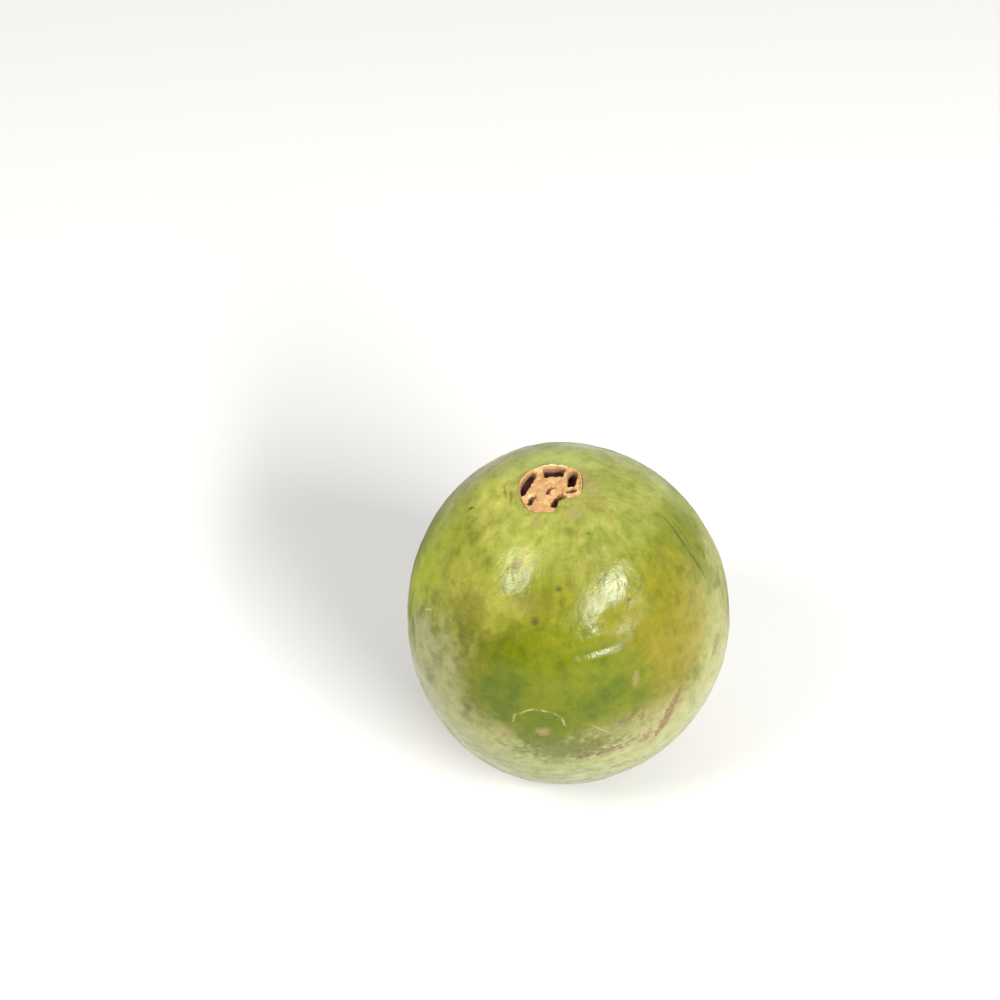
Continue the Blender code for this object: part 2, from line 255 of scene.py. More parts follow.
class Recipe:
    """A geometry node tree with named sizes, run once to make one plain mesh.

    Its sheets are flat grids. The wire named around gives the angle that each point of a sheet gets round
    the axis, and the wire named row how far along the sheet the point lies, from 0 to 1.
    """

    def __init__(self, name: str, sizes: dict[str, float]) -> None:
        """Start the tree.

        Args:
            name: the tree's name.
            sizes: the named inputs and their values.
        """
        self.tree = bpy.data.node_groups.new(name, "GeometryNodeTree")
        self.tree.interface.new_socket("Geometry", in_out="INPUT", socket_type="NodeSocketGeometry")
        for label in sizes:
            self.tree.interface.new_socket(label, in_out="INPUT", socket_type="NodeSocketFloat")
        self.tree.interface.new_socket("Geometry", in_out="OUTPUT", socket_type="NodeSocketGeometry")
        self.bench = NodeBench(self.tree)
        self.sizes = sizes
        self.entry = self.bench.node("NodeGroupInput")
        across, along, _ = self.bench.parts(self.bench.made("GeometryNodeInputPosition", 0))
        self.around = (across + 0.5) * (2.0 * pi)
        self.row = along + 0.5

    def size(self, label: str) -> Wire:
        """Give one of the named inputs."""
        return Wire(self.bench, self.entry.outputs[label])

    def sheet(self, columns: int, rows: int, position: Wire) -> Wire:
        """Give a grid, one unit wide and deep, with its points moved to their positions."""
        flat = self.bench.made("GeometryNodeMeshGrid", 0, Size_X=1.0, Size_Y=1.0,
                               Vertices_X=columns + 1, Vertices_Y=rows + 1)
        return self.bench.made("GeometryNodeSetPosition", 0, Geometry=flat, Position=position)

    def away(self, centre: float) -> Wire:
        """Give the signed turn from a fixed direction to each point's."""
        return self.bench.maths("WRAP", self.around - centre, pi, -pi)

    def level_place(self, radius: Wire) -> Wire:
        """Give the place at this distance from the axis, level with its foot, in each point's direction."""
        bench = self.bench
        return bench.vector(radius * bench.cosine(self.around), radius * bench.sine(self.around), 0.0)

    def lobed(self, lobes: "tuple[Lobe, ...]") -> Wire:
        """Add up the lobes' bulges in each point's direction."""
        total: Value = 0.0
        for lobe in lobes:
            away = self.away(radians(lobe.around)) / radians(lobe.half_width)
            total = self.bench.bell(away) * lobe.bulge + total
        return total

    def pushed(self, geometry: Wire, height: Wire) -> Wire:
        """Push the geometry's points out along their normals."""
        normal = self.bench.made("GeometryNodeInputNormal", 0)
        return self.bench.made("GeometryNodeSetPosition", 0, Geometry=geometry,
                               Offset=self.bench.vectors("SCALE", normal, height))

    def labelled(self, geometry: Wire, label: str, value: Value) -> Wire:
        """Store a number on each point under a name."""
        settings = {"data_type": "FLOAT", "domain": "POINT"}
        return self.bench.made("GeometryNodeStoreNamedAttribute", 0, settings,
                               Geometry=geometry, Name=label, Value=value)

    def label(self, label: str) -> Wire:
        """Read back a number stored on each point."""
        return self.bench.made("GeometryNodeInputNamedAttribute", 0, {"data_type": "FLOAT"}, Name=label)

    def joined(self, *pieces: Wire) -> Wire:
        """Join pieces and weld the points that meet."""
        join = self.bench.node("GeometryNodeJoinGeometry")
        for piece in pieces:
            self.bench.feed(join.inputs[0], piece)
        return self.bench.made("GeometryNodeMergeByDistance", 0, Geometry=Wire(self.bench, join.outputs[0]),
                               Distance=WELD)

    def serve(self, geometry: Wire) -> None:
        """End the tree: smooth shading, real geometry and a blank material, which declare() changes."""
        blank = bpy.data.materials.new(self.tree.name + "_blank")
        smooth = self.bench.made("GeometryNodeSetShadeSmooth", 0, Geometry=geometry)
        real = self.bench.made("GeometryNodeRealizeInstances", 0, Geometry=smooth)
        dressed = self.bench.made("GeometryNodeSetMaterial", 0, Geometry=real, Material=blank)
        self.bench.feed(self.bench.node("NodeGroupOutput").inputs[0], dressed)

    def run(self, name: str, geometry: Wire) -> bpy.types.Object:
        """End the tree, run it and keep the result as a plain mesh.

        Args:
            name: the finished piece's name.
            geometry: the geometry that the tree makes.

        Returns:
            The piece, at the origin, with no modifier left on it.
        """
        self.serve(geometry)
        host = new_object(name, bpy.data.meshes.new(name))
        modifier = host.modifiers.new("recipe", "NODES")
        modifier.node_group = self.tree
        for item in self.tree.interface.items_tree:
            if item.in_out == "INPUT" and item.name in self.sizes:
                modifier[item.identifier] = self.sizes[item.name]
        depsgraph = bpy.context.evaluated_depsgraph_get()
        mesh = bpy.data.meshes.new_from_object(host.evaluated_get(depsgraph), depsgraph=depsgraph)
        host.modifiers.remove(modifier)
        mesh.name = name
        host.data = mesh
        return host


class Coat:
    """A material in the making, with a bench on its nodes, its shader and the object coordinates."""

    def __init__(self, name: str) -> None:
        """Start the material."""
        self.material = bpy.data.materials.new(name)
        self.material.use_nodes = True
        self.bench = NodeBench(self.material.node_tree)
        self.shader = self.material.node_tree.nodes["Principled BSDF"]
        self.place = self.bench.made("ShaderNodeTexCoord", "Object")

    def set(self, **inputs: object) -> None:
        """Feed the shader's inputs by their names, with underscores for spaces."""
        self.bench.feed_named(self.shader, inputs)

    def raise_bumps(self, height: Wire) -> None:
        """Feed a height in metres to the shader's normal."""
        self.set(Normal=self.bench.made("ShaderNodeBump", 0, Height=height, Distance=1.0, Strength=1.0))


@dataclass(frozen=True)
class Noise:
    """The sizes of one noise pattern. Where it strays, the place is warped first."""

    size: float
    detail: float = 2.0
    roughness: float = 0.5
    stray_size: float = 0.0
    stray: float = 0.0

    def spread(self, bench: NodeBench, place: Wire) -> Wire:
        """Give the pattern's level at each place, from 0 to 1."""
        if self.stray:
            place = bench.warp(place, self.stray_size, self.stray)
        return bench.noise(place, self.size, self.detail, self.roughness)


@dataclass(frozen=True)
class Wash:
    """A layer of colour that comes in while some value goes from low to high."""

    colour: Colour
    low: float
    high: float
    strength: float = 1.0
    blend: str = "MIX"

    def lay(self, bench: NodeBench, value: Wire, under: Paint, where: Wire | None = None) -> Wire:
        """Lay the wash over a colour by a value, and only where a mask has it, if one is given."""
        amount = bench.rise(value, self.low, self.high, self.strength)
        if where is not None:
            amount = where * amount
        return bench.paint(amount, under, self.colour, self.blend)


@dataclass(frozen=True)
class Swelling:
    """A soft rise of the skin, or a dent where the rise is negative."""

    around: float
    along: float
    half_width: float
    half_length: float
    rise: float


@dataclass(frozen=True)
class Lobe:
    """A wide bulge of the calyx's outline, or of its lip's height. A negative one is a flat."""

    around: float               # degrees round the calyx, from +X towards +Y
    half_width: float           # degrees
    bulge: float


@dataclass(frozen=True)
class Pit:
    """A hollow slot in the calyx's disc, where the base of a sepal has shrunk away."""

    across: float               # its middle, to +X of the calyx's middle
    back: float                 # its middle, to +Y of the calyx's middle
    half_length: float
    half_width: float
    turn: float                 # degrees from +X towards +Y of its long side
    depth: float
    slant: float = 0.0          # share by which it is deeper on the left of its long side


@dataclass(frozen=True)
class GuavaForm:
    """The rules and sizes that the skin and the calyx share, as in the solids.

    Every point is worked out on a straight axis, from its angle round the axis and its radius and height,
    and bent() then leans it over.
    """

    half_width: float = 31.0 * MM
    half_height: float = 36.0 * MM
    egg: float = 0.03
    lean: float = 4.9 * MM
    oval: float = 0.009
    oval_turn: float = radians(15)
    corners: float = 0.021
    corners_turn: float = radians(112)
    flat_radius: float = 8.5 * MM
    flat_sink: float = 1.72 * MM
    flat_blend: float = 0.35 * MM
    hollow_mouth: float = 5.2 * MM
    hollow_floor: float = 2.7 * MM
    hollow_depth: float = 2.3 * MM
    calyx_radius: float = 6.3 * MM
    flap_reach: float = 2.6 * MM
    flap_start: float = radians(-86)
    flap_full_start: float = radians(-66)
    flap_full_end: float = radians(-56)
    flap_end: float = radians(-10)
    outline_lobes: tuple[Lobe, ...] = (
        Lobe(128, 30, 0.50 * MM),
        Lobe(38, 16, 0.30 * MM),
        Lobe(-4, 20, -0.55 * MM),
        Lobe(-96, 22, -0.60 * MM),
        Lobe(-165, 25, -0.50 * MM),
    )
    shoulder_dip: float = 0.45 * MM
    shoulder_reach: float = 3.2 * MM
    shoulder_start: Span = (radians(120), radians(150))
    relief_start: Span = (radians(30), radians(45))
    relief_end: Span = (radians(167), radians(157))
    swellings: tuple[Swelling, ...] = (
        Swelling(-64, 127, 3.6 * MM, 3.2 * MM, -0.45 * MM),
        Swelling(-116, 151, 3.0 * MM, 2.4 * MM, -0.20 * MM),
        Swelling(-100, 96, 5.6 * MM, 4.4 * MM, 0.35 * MM),
        Swelling(-50, 88, 6.0 * MM, 6.0 * MM, -0.30 * MM),
        Swelling(-146, 118, 9.0 * MM, 7.0 * MM, 0.35 * MM),
        Swelling(60, 110, 11.0 * MM, 9.0 * MM, -0.45 * MM),
        Swelling(150, 75, 10.0 * MM, 8.0 * MM, -0.35 * MM),
        Swelling(20, 60, 8.0 * MM, 7.0 * MM, 0.30 * MM),
    )

    def pole(self) -> float:
        """Give the height of the blossom pole on the straight axis."""
        return 2.0 * self.half_height - self.flat_sink

    def pole_slope(self) -> float:
        """Give how steeply the axis leans at the blossom pole."""
        share = self.pole() / (2.0 * self.half_height)
        return 2.0 * share * self.lean / (2.0 * self.half_height)

    def axis_point(self, height: float) -> Vector:
        """Give a point of the bent axis, before the piece is centred on its box."""
        share = height / (2.0 * self.half_height)
        return Vector((-self.lean * share * share, 0.0, height))

    def sizes(self) -> dict[str, float]:
        """Give the sizes that a recipe takes as named inputs."""
        return named(self, "half_width", "half_height", "egg", "lean", "oval", "corners",
                     "flat_sink", "calyx_radius", "flap_reach")

    def bent(self, recipe: Recipe, radius: Wire, height: Wire) -> Wire:
        """Lean a point over towards -X and turn it with the axis.

        Args:
            recipe: the recipe that the nodes go into.
            radius: the distance from the straight axis.
            height: the height on the straight axis.

        Returns:
            The point's position.
        """
        bench = recipe.bench
        around = recipe.around
        share = height / (recipe.size("Half Height") * 2.0)
        slope = share * recipe.size("Lean") / recipe.size("Half Height")
        across = radius * bench.cosine(around) / bench.hypotenuse(slope, 1.0)
        shifted = across - recipe.size("Lean") * share * share
        return bench.vector(shifted, radius * bench.sine(around), height + slope * across)

    def seat_edge(self, recipe: Recipe) -> Wire:
        """Give the radius of the skin's edge round the calyx: lobed, with a flap of skin that bites in."""
        turn = recipe.away(0.0)
        growing = recipe.bench.rise(turn, self.flap_start, self.flap_full_start)
        fading = recipe.bench.rise(turn, self.flap_end, self.flap_full_end)
        rounded = recipe.size("Calyx Radius") + recipe.lobed(self.outline_lobes)
        return rounded - recipe.size("Flap Reach") * growing * fading

    def relief(self, recipe: Recipe, along: Wire, swellings: tuple[Swelling, ...]) -> Wire:
        """Give how far the swellings and dents move the skin outward."""
        bench = recipe.bench
        total: Value = 0.0
        for swelling in swellings:
            middle = radians(swelling.along)
            girth = self.half_width * sin(middle) / swelling.half_width
            sideways = recipe.away(radians(swelling.around)) * girth
            lengthways = (along - middle) * (self.half_height / swelling.half_length)
            reach = sideways * sideways + lengthways * lengthways
            total = bench.maths("EXPONENT", reach * -1.0) * swelling.rise + total
        return total * bench.rise(along, *self.relief_start) * bench.rise(along, *self.relief_end)

    def skin_profile(self, recipe: Recipe, along: Wire, edge: Wire, lift: Value = 0.0) -> tuple[Wire, Wire]:
        """Give the skin's radius and height on the straight axis.

        Args:
            recipe: the recipe that the nodes go into.
            along: the angle from the stalk's pole to the blossom pole.
            edge: the radius of the calyx's seat in each direction.
            lift: how far the swellings and dents move the skin outward.

        Returns:
            The radius and the height.
        """
        bench = recipe.bench
        around = recipe.around
        half_width, half_height = recipe.size("Half Width"), recipe.size("Half Height")
        rising, level = bench.sine(along), bench.cosine(along)
        two_sided = bench.cosine((around - self.oval_turn) * 2.0) * recipe.size("Oval")
        three_sided = bench.cosine((around - self.corners_turn) * 3.0) * recipe.size("Corners")
        swell = rising * (two_sided + three_sided) + 1.0
        steep = half_height * rising
        flat = half_width * level
        outward = bench.hypotenuse(steep, flat)
        radius = half_width * rising * (1.0 - recipe.size("Egg") * level) * swell + lift * steep / outward
        height = half_height * (1.0 - level) - lift * flat / outward
        past_edge = bench.maths("MAXIMUM", radius - edge, 0.0)
        near_seat = bench.rise(along, *self.shoulder_start)
        dip = bench.bell(past_edge / self.shoulder_reach) * near_seat * self.shoulder_dip
        above = height - dip - recipe.size("Flat Sink")
        cleared = bench.maths("SMOOTH_MAX", above, 0.0, self.flat_blend * 2.0)
        return radius, cleared


@dataclass(frozen=True)
class MarkFinish:
    """How one kind of blemish looks."""

    colour: Colour
    softness: float             # share of its half size over which its edge fades
    ragged: float               # how far its edge strays, as a share of its half size
    flecks: float = 0.0         # how much of it breaks up into flecks
    sunk: float = 0.0
    pointed: bool = False       # whether it runs to a point at both ends


class MarkKind(Enum):
    """The kinds of blemish and tint on the skin."""

    # lighter skin; the patch under the left highlight is a painted highlight
    LIGHT = MarkFinish((0.400, 0.402, 0.062), 0.90, 0.9)
    RIPE = MarkFinish((0.178, 0.145, 0.006), 0.90, 1.1)
    # pale bloom on the skin, partly painted reflection of the white floor along the rims
    BLOOM = MarkFinish((0.292, 0.294, 0.118), 0.60, 0.9)
    FRESH = MarkFinish((0.103, 0.123, 0.000), 0.30, 0.60)
    LIME = MarkFinish((0.290, 0.335, 0.004), 0.80, 0.9)
    SHADE = MarkFinish((0.061, 0.090, 0.000), 0.60, 1.6)
    # painted sheen: a pale reflection along the far and right rims
    RIM_SHEEN = MarkFinish((0.330, 0.365, 0.095), 0.85, 0.9)
    STAIN = MarkFinish((0.120, 0.092, 0.020), 0.70, 1.4, 0.4)
    BLUSH = MarkFinish((0.270, 0.190, 0.085), 0.80, 1.0, 0.3)
    PORE = MarkFinish((0.070, 0.058, 0.014), 0.80, 0.9, 0.0, 0.05 * MM)
    CRACK = MarkFinish((0.145, 0.076, 0.022), 0.35, 0.8, 0.60, 0.05 * MM, True)
    SCUFF = MarkFinish((0.120, 0.068, 0.032), 0.50, 1.6, 0.60, 0.02 * MM)
    SCRATCH = MarkFinish((0.065, 0.075, 0.012), 0.50, 0.9, 0.0, 0.05 * MM)
    PALE_LINE = MarkFinish((0.36, 0.36, 0.17), 0.55, 0.7, 0.0, -0.03 * MM)


@dataclass(frozen=True)
class Mark:
    """One blemish or tint, placed by its direction from the fruit's middle."""

    kind: MarkKind
    longitude: float            # degrees from +X towards +Y
    latitude: float             # degrees above level
    half_length: float          # millimetres
    half_width: float           # millimetres
    turn: float = 0.0           # degrees of the long side from east towards north
    strength: float = 1.0


def of_kind(kind: MarkKind, *rows: tuple[float, ...]) -> tuple[Mark, ...]:
    """Give marks of one kind from rows that hold the other fields of Mark, in their order."""
    return tuple(Mark(kind, *row) for row in rows)


# The broad tints of the ground, in the order in which they cover each other. Among them are painted
# reflection of the white floor in the pale bloom, painted sheen in the mint and one painted highlight
TINTS: tuple[Mark, ...] = (
    *of_kind(
        MarkKind.LIGHT,
        (-152, 42, 8.0, 9.0, 0, 0.42),
        (168, 63, 6.0, 5.5, 0, 1.00),
        (-140, 68, 5.5, 5.5, 0, 0.40),
        # painted highlight: the spread of the left highlight
        (-125, 45, 4.0, 4.0, 0, 0.35),
    ),
    # painted sheen along the far and right rims
    *of_kind(
        MarkKind.RIM_SHEEN,
        (100, 72, 11.0, 5.0, 0, 1.00),
        (20, 62, 8.0, 5.0, 0, 0.30),
        (15, 41, 6.5, 11.0, 0, 0.60),
    ),
    # pale bloom round the rims, partly painted reflection of the white floor
    *of_kind(
        MarkKind.BLOOM,
        (-165, -10, 12.0, 10.0, 0, 0.85),
        (-141, 3, 5.6, 13.5, 0, 0.85),
        (-120, -16, 17.0, 10.0, 0, 0.85),
        (-60, -16, 17.0, 11.0, 0, 0.90),
        (-24, 6, 8.5, 18.0, 0, 0.90),
    ),
    *of_kind(MarkKind.FRESH, (-8, 47, 7.0, 9.0, 0, 0.55)),
    # pale bloom on the right rim, partly painted reflection of the white floor
    *of_kind(MarkKind.BLOOM, (2, 30, 4.5, 6.0, 0, 0.70)),
    *of_kind(
        MarkKind.FRESH,
        (-38, 54, 12.0, 9.5, 0, 0.25),
        (-64, 13, 4.0, 4.0, 0, 0.50),
    ),
    # pale bloom low on the back, partly painted reflection of the white floor
    *of_kind(
        MarkKind.BLOOM,
        (60, 20, 12.0, 8.0, 30, 0.50),
        (150, -10, 15.0, 9.0, 0, 0.60),
    ),
    *of_kind(
        MarkKind.RIPE,
        (-51, 28, 8.5, 12.0, 0, 0.75),
        (-33, 34, 5.0, 9.0, 0, 0.50),
        (100, -10, 12.0, 9.0, 0, 0.60),
    ),
    *of_kind(
        MarkKind.FRESH,
        (-90, 33, 13.0, 5.5, 0, 0.45),
        (-94, 19, 16.5, 9.5, 4, 0.92),
        (-101, 3, 5.4, 4.3, 0, 0.90),
    ),
    *of_kind(
        MarkKind.LIME,
        (175, 43, 6.0, 6.5, 0, 0.60),
        (-170, 27, 6.0, 8.5, 0, 0.90),
    ),
    # pale bloom on the left rim, partly painted reflection of the white floor
    *of_kind(MarkKind.BLOOM, (-154, 14, 4.8, 6.0, 0, 1.00)),
    *of_kind(MarkKind.FRESH, (150, 30, 12.0, 8.0, 0, 0.60)),
    *of_kind(
        MarkKind.SHADE,
        (-96, 9, 9.0, 2.6, 4, 0.60),
        (-115, 19, 3.6, 5.8, 0, 0.80),
        (-77, 19, 5.5, 3.2, 14, 0.65),
        (-101, 3, 4.2, 2.8, 0, 0.45),
        (-64, 14, 3.2, 3.2, 0, 0.45),
    ),
)

# The small blemishes, over the tints
MARKS: tuple[Mark, ...] = (
    *of_kind(
        MarkKind.STAIN,
        (-136, 38, 5.5, 4.0, 158, 0.35),
        (-110, 49, 5.6, 2.4, 3, 0.35),
        (-142, 29, 1.2, 1.0, 140, 0.60),
        (-142, 15, 1.8, 1.5, 104, 0.55),
        (-145, 6, 1.9, 1.5, 106, 0.50),
        (-134, 29, 1.4, 0.7, 114, 0.55),
        (-131, 18, 2.2, 0.9, 109, 0.60),
        (-135, 10, 1.3, 0.9, 111, 0.50),
        (-125, 58, 1.3, 0.8, 70, 0.65),
        (-85, 53, 2.0, 1.0, 92, 0.50),
        (-78, 67, 0.9, 0.6, 88, 0.45),
        (-92, 57, 1.6, 0.7, 101, 0.50),
        (-31, 37, 1.6, 1.1, 77, 0.35),
        (-35, 54, 1.9, 0.9, 55, 0.35),
        (70, 35, 4.0, 3.0, 40, 0.45),
        (-72, -2, 7.0, 3.4, 6, 0.50),
        (-90, -7, 7.5, 3.0, 3, 0.60),
        (-73, 63, 4.0, 3.0, 20, 0.30),
        (101, 65, 3.2, 0.6, 0, 0.45),
        (55, 70, 1.8, 1.2, 40, 0.40),
        (178, 70, 0.8, 1.6, 0, 0.35),
        (-95, 73, 2.2, 0.8, 0, 0.30),
    ),
    *of_kind(
        MarkKind.BLUSH,
        (-130, 73, 0.9, 0.7, 59, 0.75),
        (23, 85, 4.2, 0.9, 150, 0.60),
        (-87, 79, 1.4, 1.0, 130, 0.60),
        (-100, 3, 1.2, 1.0, 0, 0.80),
        (-114, -1, 1.5, 0.9, 10, 0.60),
        (-66, 21, 1.5, 0.6, 78, 0.60),
        (-77, -12, 4.2, 1.5, 3, 0.50),
        (-61, -11, 2.6, 1.8, 39, 0.50),
        (-52, -4, 5.5, 1.5, 66, 0.55),
    ),
    *of_kind(MarkKind.SHADE, (-94, -8, 8.5, 3.4, 0, 0.60)),
    *of_kind(
        MarkKind.PORE,
        (-107, 44, 0.75, 0.65, 8, 0.92),
        (-98, 55, 0.60, 0.45, 0, 0.90),
        (179, 57, 0.60, 0.32, 69, 0.80),
        (-62, 49, 0.50, 0.38, 151, 0.75),
        (-147, 37, 0.75, 0.60, 150, 0.45),
        (-154, 31, 0.50, 0.60, 94, 0.35),
        (95, 55, 0.50, 0.45, 0, 0.80),
        (140, 10, 0.50, 0.40, 0, 0.80),
    ),
    *of_kind(MarkKind.CRACK, (-52, -4, 7.2, 1.15, 66, 1.0)),
    *of_kind(
        MarkKind.SCUFF,
        (-77, -12, 3.5, 1.0, 3, 0.85),
        (-85, -13, 1.5, 0.5, 3, 0.85),
        (-61, -11, 1.7, 1.4, 39, 0.70),
        (-70, 4, 1.7, 0.6, 13, 0.85),
        (-64, 3, 1.2, 0.6, 70, 0.75),
        (-68, -10, 1.5, 0.4, 7, 0.85),
        (-89, -8, 0.9, 0.5, 137, 0.75),
        (-72, -28, 0.8, 0.4, 36, 0.85),
        (-58, -29, 1.0, 0.4, 27, 0.75),
        (-25, 11, 2.3, 1.2, 43, 0.60),
        (120, 5, 3.0, 1.2, 60, 0.70),
    ),
    *of_kind(
        MarkKind.SCRATCH,
        (-14, 53, 4.2, 0.34, 72, 0.80),
        (-17, 42, 3.4, 0.34, 84, 0.85),
        (-11, 51, 4.2, 0.22, 68, 0.40),
        (-9, 40, 0.8, 0.45, 46, 0.70),
        (175, 69, 1.5, 0.30, 11, 0.50),
        (-175, 71, 1.7, 0.30, 2, 0.50),
        (-76, 72, 0.9, 0.25, 160, 0.50),
        (-162, 14, 1.3, 0.30, 122, 0.70),
        (-165, 1, 1.3, 0.30, 110, 0.70),
        (35, -15, 5.0, 0.30, 30, 0.60),
    ),
    *of_kind(
        MarkKind.PALE_LINE,
        (-79, 1, 3.0, 0.22, 139, 0.32),
        (-155, 27, 1.5, 0.25, 47, 0.80),
    ),
)


@dataclass(frozen=True)
class Crease:
    """A thin pale line along part of a circle on the skin: the edge of a healed blister."""

    longitude: float = -101.4
    latitude: float = 3.3
    radius: float = 5.2 * MM
    half_width: float = 0.18 * MM
    middle: float = radians(100)
    half_sweep: float = radians(100)
    reach: float = 6.0 * MM     # how far above and below the skin its ball of influence goes
    fade: float = radians(35)   # how much of the sweep fades at each end
    stray_size: float = 2.2 * MM
    stray: float = 1.1 * MM
    gap_size: float = 1.6 * MM
    gaps: Span = (0.36, 0.62)    # the levels of a noise between which the line comes back
    edge: Span = (1.7, 0.3)      # the shares of its half width between which it fades
    colour: Colour = (0.32, 0.34, 0.14)
    strength: float = 0.65
    rise: float = 0.07 * MM

    def mask(self, coat: Coat, centre: Vector, turned: Euler) -> Wire:
        """Give 1 on the crease's line and 0 off it.

        Args:
            coat: the material in the making.
            centre: the middle of its circle.
            turned: the turn of the skin's own directions there.

        Returns:
            The mask.
        """
        bench = coat.bench
        strayed = bench.warp(coat.place, self.stray_size, self.stray)
        east, north, up = bench.parts(bench.local(strayed, centre, turned, Vector((1.0, 1.0, 1.0))))
        off_line = abs(bench.hypotenuse(east, north) - self.radius)
        turn = bench.maths("WRAP", bench.maths("ARCTAN2", north, east) - self.middle, pi, -pi)
        on_sweep = bench.rise(abs(turn), self.half_sweep, self.half_sweep - self.fade)
        near = bench.rise(abs(up), self.reach, 0.7 * self.reach)
        worn = bench.rise(bench.noise(coat.place, self.gap_size), *self.gaps)
        outer, inner = (self.half_width * share for share in self.edge)
        return bench.rise(off_line, outer, inner) * on_sweep * near * worn


# The shares of each channel that the mottles leave
DARKER: Colour = (0.52, 0.66, 0.25)
LIGHTER: Colour = (1.38, 1.28, 1.60)


@dataclass(frozen=True)
class WaxySkin:
    """The finish of the skin: mottled green under a thin wax, with its blemishes; its colour also holds
    painted floor reflection, painted sheen and a painted highlight.
    """

    base: Colour = (0.184, 0.197, 0.047)
    levels: tuple[Wash, ...] = (                # from the base up, by height
        Wash((0.119, 0.121, 0.002), 22.0 * MM, 35.0 * MM),
        Wash((0.159, 0.164, 0.011), 51.0 * MM, 61.0 * MM),
        Wash((0.212, 0.220, 0.038), 61.0 * MM, 67.0 * MM),
    )
    waver: float = 14.0 * MM                    # how far these heights stray up and down
    waver_size: float = 13.0 * MM
    clouds: Noise = Noise(7.0 * MM, 3.0, 0.62, 5.0 * MM, 5.0 * MM)
    streaks: Noise = Noise(1.9 * MM, 3.0, 0.6, 4.0 * MM, 1.5 * MM)
    streak_girth: float = 26.0 * MM             # the even radius that the streaks' pattern is laid on
    streak_core: float = 5.0 * MM               # added to the true radius, for the sake of the axis
    streak_stretch: float = 0.22
    olive_clouds: Wash = Wash((0.176, 0.146, 0.014), 0.46, 0.32, 0.45)
    dark_clouds: Wash = Wash(DARKER, 0.50, 0.66, 0.50, "MULTIPLY")
    dark_streaks: Wash = Wash(DARKER, 0.52, 0.70, 0.45, "MULTIPLY")
    light_streaks: Wash = Wash(LIGHTER, 0.48, 0.30, 0.55, "MULTIPLY")
    # the heights over which the pale wisps, partly painted floor reflection, fade out going up
    bloom_sheen_top: Span = (34.0 * MM, 22.0 * MM)
    wisps: Noise = Noise(1.2 * MM, 3.0, 0.6, 3.0 * MM, 2.0 * MM)
    wisp_stretch: float = 0.35
    dapples: Noise = Noise(2.4 * MM, 4.0, 0.70, 2.5 * MM, 2.0 * MM)
    # pale bloom, partly painted reflection of the white floor on the lower half
    pale_wisps: Wash = Wash((0.285, 0.295, 0.132), 0.42, 0.62, 0.70)
    dark_wisps: Wash = Wash(DARKER, 0.50, 0.34, 0.60, "MULTIPLY")
    dark_dapples: Wash = Wash(DARKER, 0.52, 0.66, 0.54, "MULTIPLY")
    light_dapples: Wash = Wash(LIGHTER, 0.50, 0.35, 0.46, "MULTIPLY")
    reach: float = 3.0          # how many half sizes from its middle a mark can still show
    extra_depth: float = 1.5    # millimetres by which a mark goes deeper than it is long
    tint_grain: float = 3.5 * MM
    mark_grain: float = 1.0 * MM
    flecks: Noise = Noise(0.42 * MM, 2.0, 0.6)
    fleck_levels: Span = (0.42, 0.56)
    glossy: float = 0.208       # the roughness where the wax is best, and where it is patchy
    patchy: float = 0.351
    patch_size: float = 6.0 * MM            # of the patches, and of the waves in the film's upper edge
    patch_levels: Span = (0.35, 0.70)
    worn: float = 0.60          # the roughness on the upper flanks, where the wax is rubbed dull
    worn_middle: float = -2.5 * MM
    worn_across: Span = (16.0 * MM, 27.0 * MM)
    worn_up: Span = (34.0 * MM, 44.0 * MM)
    ior: float = 1.35
    wrinkles: Noise = Noise(1.5 * MM, stray_size=3.0 * MM, stray=2.4 * MM)
    wrinkle_stretch: float = 0.65
    wrinkle_height: float = 0.10 * MM
    wrinkle_top: float = 0.5    # the level of the noise past which the wrinkles are flat
    wrinkle_blend: float = 0.08
    grain_size: float = 0.5 * MM
    grain_height: float = 0.025 * MM

    def material(self, skin: "Skin", tints: tuple[Mark, ...], marks: tuple[Mark, ...],
                 crease: Crease) -> bpy.types.Material:
        """Make the skin's material.

        Args:
            skin: the skin that it goes on, asked for places on its surface.
            tints: the broad tints of its ground, among them painted floor reflection, painted sheen and a
                painted highlight.
            marks: the small blemishes.
            crease: the healed blister's edge.

        Returns:
            The material.
        """
        coat = Coat("waxy_skin")
        bench, place = coat.bench, coat.place
        colour = self.mottled(coat, self.ground(coat))
        # the tints hold painted floor reflection, painted sheen along the rims and a painted highlight
        colour, _ = self.blemished(coat, colour, skin, tints, self.tint_grain)
        # pale wisps on the lower half, partly painted reflection of the white floor
        colour = self.bloom_sheen_and_dapples(coat, colour)
        colour, sunk = self.blemished(coat, colour, skin, marks, self.mark_grain)
        line = crease.mask(coat, *skin.spot(crease.longitude, crease.latitude, 0.0))
        colour = bench.paint(line * crease.strength, colour, crease.colour)
        stretched = bench.vectors("MULTIPLY", place, (1.0, 1.0, self.wrinkle_stretch))
        wrinkles = self.wrinkles.spread(bench, stretched)
        levelled = bench.maths("SMOOTH_MIN", wrinkles, self.wrinkle_top, self.wrinkle_blend)
        grain = bench.noise(place, self.grain_size) * self.grain_height
        coat.raise_bumps(levelled * self.wrinkle_height + grain + line * crease.rise - sunk)
        coat.set(Base_Color=colour, Roughness=self.roughness(coat), IOR=self.ior)
        return coat.material

    def roughness(self, coat: Coat) -> Wire:
        """Give the wax's roughness: patchy, and dull on the upper flanks."""
        bench = coat.bench
        patches = bench.rise(bench.noise(coat.place, self.patch_size), *self.patch_levels)
        rough = bench.mix(patches, self.glossy, self.patchy)
        x, _, z = bench.parts(coat.place)
        flank = bench.rise(abs(x - self.worn_middle), *self.worn_across)
        return bench.mix(flank * bench.rise(z, *self.worn_up), rough, self.worn)

